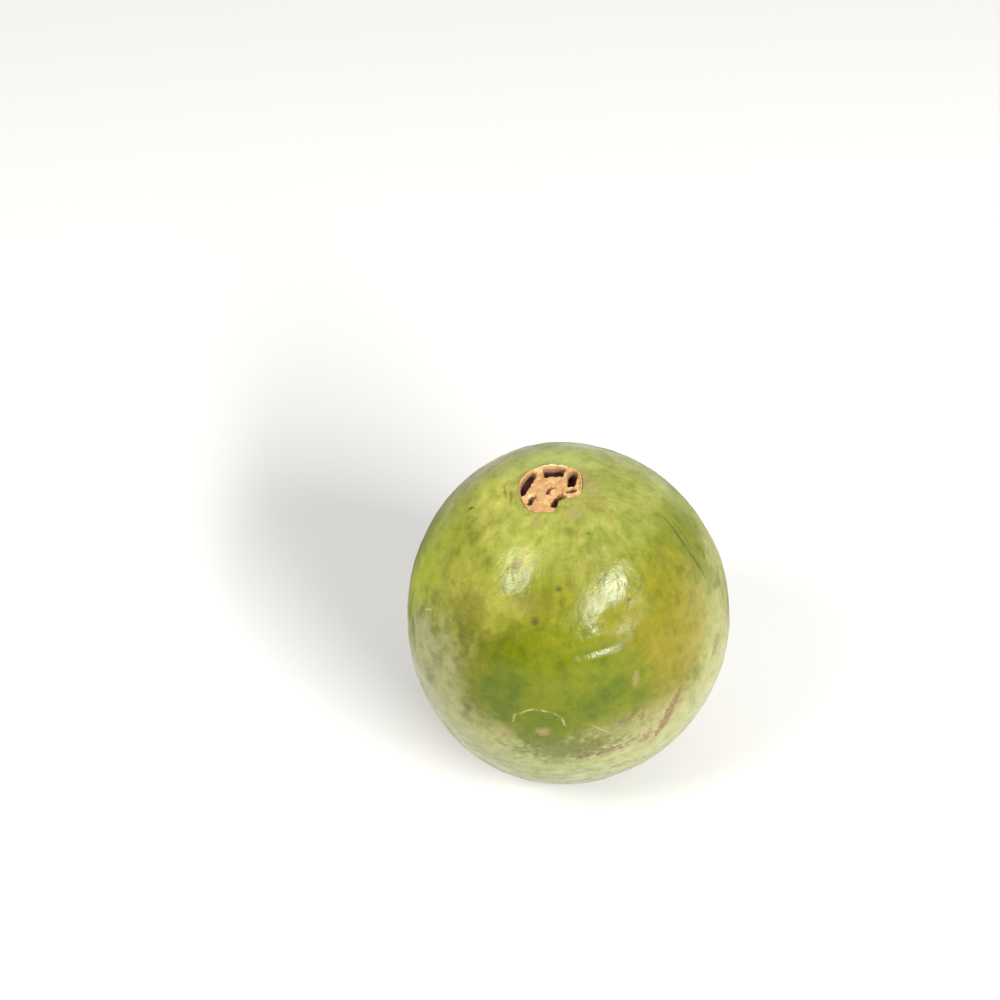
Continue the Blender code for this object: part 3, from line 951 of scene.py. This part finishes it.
    def ground(self, coat: Coat) -> Wire:
        """Give the skin's broad colour, lightest round the calyx."""
        bench = coat.bench
        _, _, z = bench.parts(coat.place)
        level = z + (bench.noise(coat.place, self.waver_size) - 0.5) * self.waver
        colour: Paint = self.base
        for wash in self.levels:
            colour = wash.lay(bench, level, colour)
        return colour

    def mottled(self, coat: Coat, colour: Wire) -> Wire:
        """Break the colour up into clouds and streaks along the fruit.

        Args:
            coat: the material in the making.
            colour: the broad colour.

        Returns:
            The colour.
        """
        bench, place = coat.bench, coat.place
        x, y, z = bench.parts(place)
        girth = bench.hypotenuse(x, y) + self.streak_core
        even_x, even_y = (side / girth * self.streak_girth for side in (x, y))
        streaks = self.streaks.spread(bench, bench.vector(even_x, even_y, z * self.streak_stretch))
        clouds = self.clouds.spread(bench, place)
        colour = self.olive_clouds.lay(bench, clouds, colour)
        colour = self.dark_clouds.lay(bench, clouds, colour)
        colour = self.dark_streaks.lay(bench, streaks, colour)
        return self.light_streaks.lay(bench, streaks, colour)

    def bloom_sheen_and_dapples(self, coat: Coat, colour: Wire) -> Wire:
        """Lay wisps of pale bloom round the fruit's lower half, partly painted reflection of the white
        floor there, and dapple everything a little.

        Args:
            coat: the material in the making.
            colour: the skin's colour with its broad tints.

        Returns:
            The colour.
        """
        bench, place = coat.bench, coat.place
        x, y, z = bench.parts(place)
        wisps = self.wisps.spread(bench, bench.vector(x * self.wisp_stretch, y * self.wisp_stretch, z))
        low = bench.rise(z + (bench.noise(place, self.patch_size) - 0.5) * self.waver, *self.bloom_sheen_top)
        # pale bloom, partly painted reflection of the white floor, on the lower half
        colour = self.pale_wisps.lay(bench, wisps, colour, low)
        colour = self.dark_wisps.lay(bench, wisps, colour, low)
        dapples = self.dapples.spread(bench, place)
        colour = self.dark_dapples.lay(bench, dapples, colour)
        return self.light_dapples.lay(bench, dapples, colour)

    def blemished(self, coat: Coat, colour: Wire, skin: "Skin", marks: tuple[Mark, ...],
                  grain: float) -> tuple[Wire, Value]:
        """Lay the blemishes over the skin's colour.

        Args:
            coat: the material in the making.
            colour: the skin's own colour.
            skin: the skin, asked for places on its surface.
            marks: the blemishes and tints; among the tints are painted floor reflection, painted sheen and
                a painted highlight.
            grain: how long the notches in their edges are.

        Returns:
            The colour, and how deep the blemishes are sunk.
        """
        bench, place = coat.bench, coat.place
        flecked = bench.rise(self.flecks.spread(bench, place), *self.fleck_levels)
        stray = bench.noise(place, grain, 3.0, 0.6) - 0.5
        sunk: Value = 0.0
        for mark in marks:
            finish = mark.kind.value
            centre, turned = skin.spot(mark.longitude, mark.latitude, mark.turn)
            thick = max(mark.half_length, mark.half_width) + self.extra_depth
            sizes = Vector((mark.half_length, mark.half_width, thick)) * (MM * self.reach)
            local = bench.local(place, centre, turned, sizes)
            if finish.pointed:
                along, aside, up = bench.parts(bench.vectors("SCALE", local, self.reach))
                distance = abs(aside) + along * along + up * up
            else:
                nearness = bench.made("ShaderNodeTexGradient", "Fac", {"gradient_type": "SPHERICAL"},
                                      Vector=local)
                distance = self.reach - nearness * self.reach
            strayed = distance + stray * (2.0 * finish.ragged)
            mask = bench.rise(strayed, 1.0 + finish.softness, 1.0 - finish.softness)
            solid = mask * mark.strength
            if finish.flecks:
                solid = solid * bench.mix(flecked, 1.0 - finish.flecks, 1.0)
            colour = bench.paint(solid, colour, finish.colour)
            if finish.sunk:
                sunk = mask * (finish.sunk * mark.strength) + sunk
        return colour, sunk


@dataclass
class Skin:
    """The fruit's skin: body, seat of the calyx, hollow of the stalk and flat spot, in one piece.

    Its two pinholes lie under the calyx and over the scar, where they don't show.
    """

    form: GuavaForm
    sectors: int = 410
    body_rings: int = 200
    hollow_rings: int = 14
    seat_rings: int = 16
    ring_gather: float = 10.0           # how late along the body its rings take up the seat's outline
    hollow_pinhole: float = 0.03        # the share of its radius at which the hollow's sheet ends
    seat_pinhole: float = 0.05
    seat_lip: float = 0.20 * MM
    seat_lip_end: float = 0.4           # the shares of the seat's rings at which its lip and wall end
    seat_wall_end: float = 0.65
    seat_depth: float = 3.4 * MM
    relief_start: Span = (radians(22), radians(34))
    relief_end: Span = (radians(170), radians(162))
    lump_size: float = 9.0 * MM
    lump_height: float = 0.34 * MM
    peel_size: float = 2.3 * MM
    peel_height: float = 0.20 * MM
    peel_stray_size: float = 5.0 * MM
    peel_stray: float = 3.0 * MM
    folds: tuple[Swelling, ...] = (Swelling(-78, 121, 6.4 * MM, 1.2 * MM, -0.30 * MM),)
    middle: Vector = field(default_factory=lambda: Vector((0.0, 0.0, 35.0 * MM)))
    piece: bpy.types.Object = field(init=False)
    surface: BVHTree = field(init=False)
    shift: Vector = field(init=False)

    def grow(self) -> None:
        """Build the skin's mesh, centre it as its solid is, and get its surface ready for questions."""
        own_sizes = named(self, "lump_size", "lump_height", "peel_size", "peel_height")
        recipe = Recipe("grow_skin", self.form.sizes() | own_sizes)
        edge = self.form.seat_edge(recipe)
        welded = recipe.joined(self.hollow(recipe, edge), self.body(recipe, edge), self.seat(recipe, edge))
        self.piece = recipe.run("guava_skin", recipe.pushed(welded, self.relief(recipe)))
        self.centre()

    def first_ring(self) -> float:
        """Give the angle along the body of its lowest ring."""
        return asin(self.form.flat_radius / self.form.half_width)

    def top_width(self) -> float:
        """Give the half width that the body's upper end would have without its other bulges."""
        return self.form.half_width * (1.0 + self.form.egg)

    def last_ring(self, bench: NodeBench, edge: Wire) -> Wire:
        """Give the angle along the body of its highest ring, where the seat's lip starts."""
        return pi - bench.maths("ARCSINE", (edge + self.seat_lip) / self.top_width())

    def body(self, recipe: Recipe, edge: Wire) -> Wire:
        """Give the body between the flat spot and the seat.

        Args:
            recipe: the recipe that the nodes go into.
            edge: the radius of the calyx's seat in each direction.

        Returns:
            The body's geometry.
        """
        bench, row = recipe.bench, recipe.row
        first = self.first_ring()
        even_end = pi - asin((self.form.calyx_radius + self.seat_lip) / self.top_width())
        last = self.last_ring(bench, edge)
        along = first + (even_end - first) * row + (last - even_end) * row ** self.ring_gather
        lift = self.form.relief(recipe, along, self.form.swellings + self.folds)
        radius, height = self.form.skin_profile(recipe, along, edge, lift)
        shape = recipe.sheet(self.sectors, self.body_rings, self.form.bent(recipe, radius, height))
        share = bench.rise(along, *self.relief_start) * bench.rise(along, *self.relief_end)
        return recipe.labelled(shape, "free", share)

    def hollow(self, recipe: Recipe, edge: Wire) -> Wire:
        """Give the flat spot and the stalk's hollow, from a pinhole in the middle out.

        Args:
            recipe: the recipe that the nodes go into.
            edge: the radius of the calyx's seat in each direction.

        Returns:
            The geometry of the fruit's underside.
        """
        bench = recipe.bench
        start = bench.made("ShaderNodeValue", 0)
        start.socket.default_value = self.first_ring()
        rim, _ = self.form.skin_profile(recipe, start, edge)
        radius = rim * (recipe.row * (1.0 - self.hollow_pinhole) + self.hollow_pinhole)
        depth = bench.rise(radius, self.form.hollow_mouth, self.form.hollow_floor) * self.form.hollow_depth
        shape = recipe.sheet(self.sectors, self.hollow_rings, self.form.bent(recipe, radius, depth))
        return recipe.labelled(shape, "free", 0.0)

    def seat(self, recipe: Recipe, edge: Wire) -> Wire:
        """Give the calyx's seat: a rounded lip, a wall and a floor with a pinhole in its middle.

        Args:
            recipe: the recipe that the nodes go into.
            edge: the radius of the calyx's seat in each direction.

        Returns:
            The seat's geometry.
        """
        bench, row = recipe.bench, recipe.row
        radius, height = self.form.skin_profile(recipe, self.last_ring(bench, edge), edge)
        turn = bench.maths("MINIMUM", row / self.seat_lip_end, 1.0) * (pi / 2.0)
        drop = bench.climb(row, self.seat_lip_end, self.seat_wall_end)
        inward = bench.climb(row, self.seat_wall_end, 1.0)
        wall_radius = radius - bench.sine(turn) * self.seat_lip
        lip_height = height - (1.0 - bench.cosine(turn)) * self.seat_lip
        floor = self.form.pole() - self.seat_depth
        down = lip_height + (floor - lip_height) * drop
        floor_radius = wall_radius * (1.0 - inward * (1.0 - self.seat_pinhole))
        shape = recipe.sheet(self.sectors, self.seat_rings, self.form.bent(recipe, floor_radius, down))
        return recipe.labelled(shape, "free", 0.0)

    def relief(self, recipe: Recipe) -> Wire:
        """Give the height of the skin's small relief: soft lumps and the peel's grain."""
        bench = recipe.bench
        place = bench.made("GeometryNodeInputPosition", 0)
        lumps = bench.noise(place, recipe.size("Lump Size"), 1.0)
        strayed = bench.warp(place, self.peel_stray_size, self.peel_stray)
        peel = bench.noise(strayed, recipe.size("Peel Size"))
        lump_rise = (lumps - 0.5) * recipe.size("Lump Height")
        peel_rise = (peel - 0.5) * recipe.size("Peel Height")
        return (lump_rise + peel_rise) * recipe.label("free")

    def centre(self) -> None:
        """Centre the skin on its solid's box, and keep its surface for spot()."""
        low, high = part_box("fruit")
        corners = [vertex.co for vertex in self.piece.data.vertices]
        own_x = 0.5 * (min(c.x for c in corners) + max(c.x for c in corners))
        own_y = 0.5 * (min(c.y for c in corners) + max(c.y for c in corners))
        self.shift = Vector((0.5 * (low.x + high.x) - own_x, 0.5 * (low.y + high.y) - own_y, 0.0))
        self.piece.data.transform(Matrix.Translation(self.shift))
        polygons = [tuple(polygon.vertices) for polygon in self.piece.data.polygons]
        self.surface = BVHTree.FromPolygons([vertex.co for vertex in self.piece.data.vertices], polygons)

    def spot(self, longitude: float, latitude: float, turn: float) -> tuple[Vector, Euler]:
        """Find a place on the skin.

        Args:
            longitude: degrees round the fruit's middle, from +X towards +Y.
            latitude: degrees above level, seen from the fruit's middle.
            turn: degrees from east towards north of the frame's first direction.

        Returns:
            The point, and the turn of a frame whose third direction points out of the skin.
        """
        level = cos(radians(latitude))
        east_part, north_part = cos(radians(longitude)) * level, sin(radians(longitude)) * level
        ray = Vector((east_part, north_part, sin(radians(latitude))))
        centre, normal, _, _ = self.surface.ray_cast(self.middle, ray)
        east = Vector((0.0, 0.0, 1.0)).cross(normal).normalized()
        north = normal.cross(east)
        first = east * cos(radians(turn)) + north * sin(radians(turn))
        second = normal.cross(first)
        return centre, Matrix((first, second, normal)).transposed().to_euler()

    def dress(self, finish: WaxySkin) -> None:
        declare(self.piece, finish.material(self, TINTS, MARKS, Crease()), "fruit")


RUST: Colour = (0.38, 0.150, 0.065)
CREAM: Colour = (0.74, 0.56, 0.29)


@dataclass(frozen=True)
class DryCork:
    """The finish of the calyx: pale fibrous cork, with painted shade that darkens its pits as they deepen.
    """

    disc: Colour = (0.44, 0.255, 0.098)
    blotches: Noise = Noise(1.5 * MM, 3.0, 0.6, 1.5 * MM, 1.0 * MM)
    grain: Noise = Noise(0.35 * MM, 2.0, 0.6)
    rusty_blotches: Wash = Wash(RUST, 0.50, 0.70, 0.8)
    pale_blotches: Wash = Wash(CREAM, 0.50, 0.30, 0.5)
    rusty_grain: Wash = Wash(RUST, 0.55, 0.80, 0.4)
    rusty_rim: Wash = Wash(RUST, -0.10 * MM, -0.40 * MM, 0.65)      # by depth below the disc's top
    pale_rim: Wash = Wash(CREAM, 1.0 * MM, 3.5 * MM, 0.9)           # by how far back it lies
    wall: Wash = Wash((0.23, 0.125, 0.070), 0.20 * MM, 0.55 * MM, 0.9)
    # painted shade: the pits go near black as they deepen
    pit: Wash = Wash((0.060, 0.012, 0.008), 0.80 * MM, 1.60 * MM)
    edge_stray: float = 0.5 * MM        # how far the edges of the last two stray in depth
    fibres: Noise = Noise(0.25 * MM, 3.0, 0.6)
    fibre_height: float = 0.06 * MM
    roughness: float = 0.85
    specular: float = 0.25

    def material(self, seat: Vector, axis: Vector, disc_level: float) -> bpy.types.Material:
        """Make the calyx's material.

        Args:
            seat: a point on the calyx's axis.
            axis: the direction of that axis.
            disc_level: how far the disc's top lies from the seat along the axis.

        Returns:
            The material.
        """
        coat = Coat("dry_calyx")
        bench, place = coat.bench, coat.place
        level = bench.vectors("DOT_PRODUCT", bench.vectors("SUBTRACT", place, tuple(seat)), tuple(axis))
        depth = disc_level - level
        blotches = self.blotches.spread(bench, place)
        colour = self.rusty_blotches.lay(bench, blotches, self.disc)
        colour = self.pale_blotches.lay(bench, blotches, colour)
        colour = self.rusty_grain.lay(bench, self.grain.spread(bench, place), colour)
        raised = bench.rise(depth, self.rusty_rim.low, self.rusty_rim.high)
        _, back, _ = bench.parts(place)
        colour = self.rusty_rim.lay(bench, depth, colour)
        colour = self.pale_rim.lay(bench, back, colour, raised)
        ragged = depth + (blotches - 0.5) * self.edge_stray
        colour = self.wall.lay(bench, ragged, colour)
        # painted shade, darkest at the bottom of the pits
        colour = self.pit.lay(bench, ragged, colour)
        coat.raise_bumps(self.fibres.spread(bench, place) * self.fibre_height)
        coat.set(Base_Color=colour, Roughness=self.roughness, Specular_IOR_Level=self.specular)
        return coat.material


@dataclass(frozen=True)
class Calyx:
    """The dried calyx: a corky disc in a thin raised rim, with pits between its arms.

    Its top and its underside have a pinhole in their middles, too small to show.
    """

    form: GuavaForm
    shift: Vector               # how the skin was moved to its place
    sectors: int = 300
    top_rings: int = 110
    wall_rings: int = 12
    gap: float = 0.04 * MM
    seat_depth: float = 3.3 * MM
    disc_level: float = 1.3 * MM
    disc_crown: float = 0.25 * MM
    rim_width: float = 0.38 * MM
    rim_height: float = 0.15 * MM
    pit_edge: float = 0.4 * MM
    pit_margin: float = 0.75        # how far the pits keep from the edge, in widths of the rim
    pit_stray_size: float = 0.9 * MM
    pit_stray: float = 0.8 * MM
    tear_size: float = 0.8 * MM
    tear_share: float = 0.9         # how much of the rim's height its tears vary, over a floor
    tear_floor: float = 0.20
    paint_rise: float = 0.12 * MM   # how far over the disc's level the finish measures depth from
    rim_foot: float = 1.3           # where the rim starts and ends, in its widths from the edge
    rim_top: float = 0.5
    pinhole: float = 0.015          # the share of its radius at which the sheets end
    under_share: float = 0.5        # the share of the wall's rings that lie under the disc
    pebble_size: float = 0.9 * MM
    pebble_height: float = 0.22 * MM
    lip_lobes: tuple[Lobe, ...] = (
        Lobe(82, 30, 0.75 * MM),
        Lobe(15, 30, 0.25 * MM),
        Lobe(-150, 30, 0.35 * MM),
    )
    pits: tuple[Pit, ...] = (
        Pit(-5.20 * MM, 2.55 * MM, 3.2 * MM, 1.60 * MM, 64, 1.4 * MM, -0.5),
        Pit(0.55 * MM, 5.20 * MM, 1.95 * MM, 1.75 * MM, 0, 1.6 * MM, 0.2),
        Pit(3.95 * MM, 2.55 * MM, 1.90 * MM, 0.80 * MM, 84, 2.1 * MM),
        Pit(3.75 * MM, -0.60 * MM, 0.80 * MM, 0.48 * MM, -12, 1.7 * MM),
        Pit(1.25 * MM, -2.75 * MM, 1.75 * MM, 0.80 * MM, 54, 1.5 * MM),
        Pit(-3.70 * MM, -1.90 * MM, 1.10 * MM, 0.58 * MM, 64, 1.3 * MM),
        Pit(-0.35 * MM, 0.00 * MM, 0.85 * MM, 0.45 * MM, 57, 1.0 * MM),
        Pit(0.22 * MM, 0.50 * MM, 0.50 * MM, 0.28 * MM, -10, 0.9 * MM),
    )

    def build(self, finish: DryCork) -> None:
        recipe = Recipe("grow_calyx", self.form.sizes() | named(self, "pebble_size", "pebble_height"))
        outer = self.form.seat_edge(recipe) - self.gap
        lip = recipe.lobed(self.lip_lobes) + self.rim_height
        welded = recipe.joined(self.underside(recipe, outer, lip), self.top(recipe, outer, lip))
        piece = recipe.run("calyx_disc", welded)
        piece.data.transform(Matrix.Translation(self.shift))
        axis = Vector((-self.form.pole_slope(), 0.0, 1.0)).normalized()
        seat = self.form.axis_point(self.form.pole() - self.seat_depth) + self.shift
        material = finish.material(seat, axis, self.seat_depth - self.disc_level + self.paint_rise)
        declare(piece, material, "calyx")

    def hollows(self, recipe: Recipe, radius: Wire, outer: Wire) -> Wire:
        """Give how far the pits sink the disc.

        Args:
            recipe: the recipe that the nodes go into.
            radius: the distance from the axis.
            outer: the calyx's radius in each direction.

        Returns:
            The depth.
        """
        bench = recipe.bench
        place = bench.warp(recipe.level_place(radius), self.pit_stray_size, self.pit_stray)
        across, back, _ = bench.parts(place)
        to_rim = outer - self.pit_margin * self.rim_width - radius
        deepest: Value = 0.0
        for pit in self.pits:
            level, rising = cos(radians(pit.turn)), sin(radians(pit.turn))
            from_x, from_y = across - pit.across, back - pit.back
            lengthways = (from_x * level + from_y * rising) / pit.half_length
            sideways = (from_y * level - from_x * rising) / pit.half_width
            square_long, square_side = lengthways * lengthways, sideways * sideways
            reach = (square_long * square_long + square_side * square_side) ** 0.25
            inside = bench.maths("MINIMUM", (1.0 - reach) * pit.half_width, to_rim)
            side = bench.maths("MAXIMUM", bench.maths("MINIMUM", sideways, 1.0), -1.0)
            depth = bench.rise(inside, -0.5 * self.pit_edge, 0.5 * self.pit_edge) * (side * pit.slant + 1.0)
            deepest = bench.maths("MAXIMUM", depth * pit.depth, deepest)
        return deepest

    def disc_height(self, recipe: Recipe, radius: Wire, outer: Wire, lip: Wire) -> Wire:
        """Give the height of the disc and its rim on the straight axis, without the pits.

        Args:
            recipe: the recipe that the nodes go into.
            radius: the distance from the axis.
            outer: the calyx's radius in each direction.
            lip: the height of the rim in each direction.

        Returns:
            The height.
        """
        bench = recipe.bench
        place = recipe.level_place(radius)
        crown = (1.0 - (radius / outer) ** 2.0) * self.disc_crown
        foot, top = (outer - share * self.rim_width for share in (self.rim_foot, self.rim_top))
        at_rim = bench.rise(radius, foot, top)
        torn = bench.noise(place, self.tear_size) * self.tear_share + self.tear_floor
        pebbles = bench.noise(place, recipe.size("Pebble Size"), 3.0)
        rough = (pebbles - 0.5) * recipe.size("Pebble Height")
        return crown + (self.form.pole() - self.disc_level) + lip * at_rim * torn + rough

    def top(self, recipe: Recipe, outer: Wire, lip: Wire) -> Wire:
        """Give the top, from the rim in to its pinhole."""
        radius = outer * (1.0 - recipe.row * (1.0 - self.pinhole))
        height = self.disc_height(recipe, radius, outer, lip) - self.hollows(recipe, radius, outer)
        return recipe.sheet(self.sectors, self.top_rings, self.form.bent(recipe, radius, height))

    def underside(self, recipe: Recipe, outer: Wire, lip: Wire) -> Wire:
        """Give the underside and the wall, from its pinhole out and up to the rim."""
        bench = recipe.bench
        outward = recipe.row / self.under_share * (1.0 - self.pinhole) + self.pinhole
        radius = outer * bench.maths("MINIMUM", outward, 1.0)
        climb = bench.climb(recipe.row, self.under_share, 1.0)
        under = self.form.pole() - self.seat_depth
        height = under + (self.disc_height(recipe, outer, outer, lip) - under) * climb
        return recipe.sheet(self.sectors, self.wall_rings, self.form.bent(recipe, radius, height))


@dataclass(frozen=True)
class StalkScar:
    """The corky button where the stalk broke off, in the hollow under the fruit."""

    form: GuavaForm
    shift: Vector               # how the skin was moved to its place
    radius: float = 2.2 * MM
    thickness: float = 0.9 * MM
    ring_width: float = 0.33 * MM
    ring_height: float = 0.05 * MM
    crumbs: Noise = Noise(0.5 * MM, 3.0, 0.6)
    crumb_height: float = 0.35 * MM
    three_sided: float = 0.05           # how far its outline strays from a circle, as shares of its radius
    five_sided: float = 0.04
    side_sharpness: float = 0.45        # the smaller these two, the boxier its section
    edge_sharpness: float = 0.4
    sunk: float = 0.05 * MM             # how far its top goes into the fruit
    sectors: int = 120
    rings: int = 46
    cork: Colour = (0.33, 0.19, 0.09)
    blotches: Noise = Noise(0.7 * MM, 3.0, 0.6)
    dark_blotches: Wash = Wash((0.12, 0.06, 0.03), 0.35, 0.70)
    fibres: Noise = Noise(0.25 * MM, 3.0, 0.6)
    fibre_height: float = 0.06 * MM
    roughness: float = 0.9

    def build(self) -> None:
        recipe = Recipe("grow_scar", named(self, "radius", "thickness"))
        button = recipe.sheet(self.sectors, self.rings, self.shape(recipe))
        piece = recipe.run("stalk_scar_disc", recipe.joined(button))
        piece.data.transform(Matrix.Translation(self.shift))
        declare(piece, self.material(), "stalk_scar")

    def shape(self, recipe: Recipe) -> Wire:
        """Give the button's points: boxy in section, ringed and crumbly on its lower face."""
        bench, row, around = recipe.bench, recipe.row, recipe.around
        three_sided = bench.cosine(around * 3.0) * self.three_sided
        ragged = three_sided + bench.cosine(around * 5.0 + 1.0) * self.five_sided + 1.0
        radius = bench.sine(row * pi) ** self.side_sharpness * ragged * recipe.size("Radius")
        place = recipe.level_place(radius)
        rings = bench.sine(radius / self.ring_width) * self.ring_height
        crumbs = (self.crumbs.spread(bench, place) - 0.5) * self.crumb_height
        facing_down = bench.rise(row, 0.55, 0.4)
        side = bench.cosine(row * pi)
        boxy = bench.maths("SIGN", side) * abs(side) ** self.edge_sharpness
        top = self.form.hollow_depth + self.sunk
        height = top - (boxy + 1.0) * recipe.size("Thickness") * 0.5 - (rings + crumbs) * facing_down
        return bench.vectors("ADD", place, bench.vector(0.0, 0.0, height))

    def material(self) -> bpy.types.Material:
        """Make the scar's material."""
        coat = Coat("stalk_cork")
        colour = self.dark_blotches.lay(coat.bench, self.blotches.spread(coat.bench, coat.place), self.cork)
        coat.raise_bumps(self.fibres.spread(coat.bench, coat.place) * self.fibre_height)
        coat.set(Base_Color=colour, Roughness=self.roughness)
        return coat.material


def declare(piece: bpy.types.Object, material: bpy.types.Material, node: str) -> None:
    """Give a finished piece its material, tie it to its solid and report it.

    Args:
        piece: the finished piece.
        material: its only material.
        node: the solid that it replaces.
    """
    piece.data.materials.clear()
    piece.data.materials.append(material)
    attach(piece, ROOT)
    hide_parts(node)
    triangles = sum(len(polygon.vertices) - 2 for polygon in piece.data.polygons)
    log.info("%s: %d triangles", piece.name, triangles)


@dataclass(frozen=True)
class SoftBox:
    """One soft light, a long rectangle that stands between two directions seen from the fruit."""

    name: str
    low_end: tuple[float, float, float]
    high_end: tuple[float, float, float]
    distance: float
    width: float
    radiance: float

    def hang(self, target: Vector) -> None:
        """Hang the light, aimed at a point."""
        low, high = Vector(self.low_end).normalized(), Vector(self.high_end).normalized()
        outward = (low + high).normalized()
        across = (high - low).cross(outward).normalized()
        along = outward.cross(across)
        length = (high - low).length * self.distance
        data = bpy.data.lights.new(self.name, "AREA")
        data.shape = "RECTANGLE"
        data.size, data.size_y = self.width, length
        data.energy = pi * self.width * length * self.radiance
        light = new_object(self.name, data)
        light.location = target + outward * self.distance
        light.rotation_euler = Matrix((across, along, outward)).transposed().to_euler()


@dataclass(frozen=True)
class Studio:
    """The floor, the light and the camera."""

    lights: tuple[SoftBox, ...] = (
        SoftBox("left_box", (-0.60, -0.48, 0.62), (-0.49, -0.23, 0.83), 0.9, 0.26, 20.0),
        SoftBox("right_box", (0.32, -0.86, 0.38), (0.61, -0.42, 0.65), 0.9, 0.16, 52.0),
    )
    high_sky: float = 1.12
    low_sky: float = 0.30
    sky_reach: Span = (0.05, 0.80)
    front_sky: float = 0.22                 # the dimmer room behind the camera
    front_reach: Span = (0.35, 0.85)
    floor_radius: float = 3.0
    floor_colour: Colour = (0.66, 0.65, 0.635)
    sky_colour: Colour = (1.0, 0.99, 0.97)
    view_distance: float = 0.45
    view_elevation: float = radians(45)
    focal_share: float = 2.301              # the focal length as a share of the picture's width
    sensor: float = 36.0
    fruit_in_picture: tuple[float, float] = (0.5683, 0.6163)
    middle_height: float = 34.28 * MM

    def set_up(self) -> None:
        """Build the floor, the lights, the sky and the camera."""
        self.floor()
        for light in self.lights:
            light.hang(Vector((0.0, 0.0, self.middle_height)))
        self.white_sky()
        self.camera()

    def floor(self) -> None:
        """Lay the floor."""
        bpy.ops.mesh.primitive_circle_add(vertices=96, radius=self.floor_radius, fill_type="NGON")
        floor = bpy.context.object
        floor.name = "floor"
        coat = Coat("floor_white")
        coat.set(Base_Color=(*self.floor_colour, 1.0), Roughness=0.9, Specular_IOR_Level=0.1)
        floor.data.materials.append(coat.material)

    def white_sky(self) -> None:
        """Surround everything with soft white light, strongest from above and dimmer behind the camera."""
        world = bpy.data.worlds.new("white_sky")
        world.use_nodes = True
        bench = NodeBench(world.node_tree)
        background = world.node_tree.nodes["Background"]
        background.inputs["Color"].default_value = (*self.sky_colour, 1.0)
        towards = bench.made("ShaderNodeTexCoord", "Generated")
        _, _, above = bench.parts(towards)
        behind = (0.0, -cos(self.view_elevation), sin(self.view_elevation))
        facing = bench.vectors("DOT_PRODUCT", towards, behind)
        dome = bench.mix(bench.rise(above, *self.sky_reach), self.low_sky, self.high_sky)
        bench.feed(background.inputs["Strength"],
                   bench.mix(bench.rise(facing, *self.front_reach), dome, self.front_sky))
        bpy.context.scene.world = world
        bpy.context.scene.view_settings.view_transform = "Standard"

    def camera(self) -> None:
        """Stand the camera so that the fruit's middle falls where the photograph has it."""
        data = bpy.data.cameras.new("camera")
        data.sensor_width = self.sensor
        data.lens = self.sensor * self.focal_share
        camera = new_object("camera", data)
        camera.rotation_euler = (pi / 2.0 - self.view_elevation, 0.0, 0.0)
        right = (self.fruit_in_picture[0] - 0.5) / self.focal_share
        up = (0.5 - self.fruit_in_picture[1]) / self.focal_share
        sight = camera.rotation_euler.to_matrix() @ Vector((right, up, -1.0))
        camera.location = Vector((0.0, 0.0, self.middle_height)) - sight.normalized() * self.view_distance
        bpy.context.scene.camera = camera


def main() -> None:
    """Build every piece, in the order in which they depend on each other."""
    form = GuavaForm()
    skin = Skin(form)
    skin.grow()
    skin.dress(WaxySkin())
    Calyx(form, skin.shift).build(DryCork())
    StalkScar(form, skin.shift).build()
    Studio().set_up()


if __name__ == "__main__":
    logging.basicConfig(level=logging.INFO, format="%(message)s")
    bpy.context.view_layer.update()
    main()
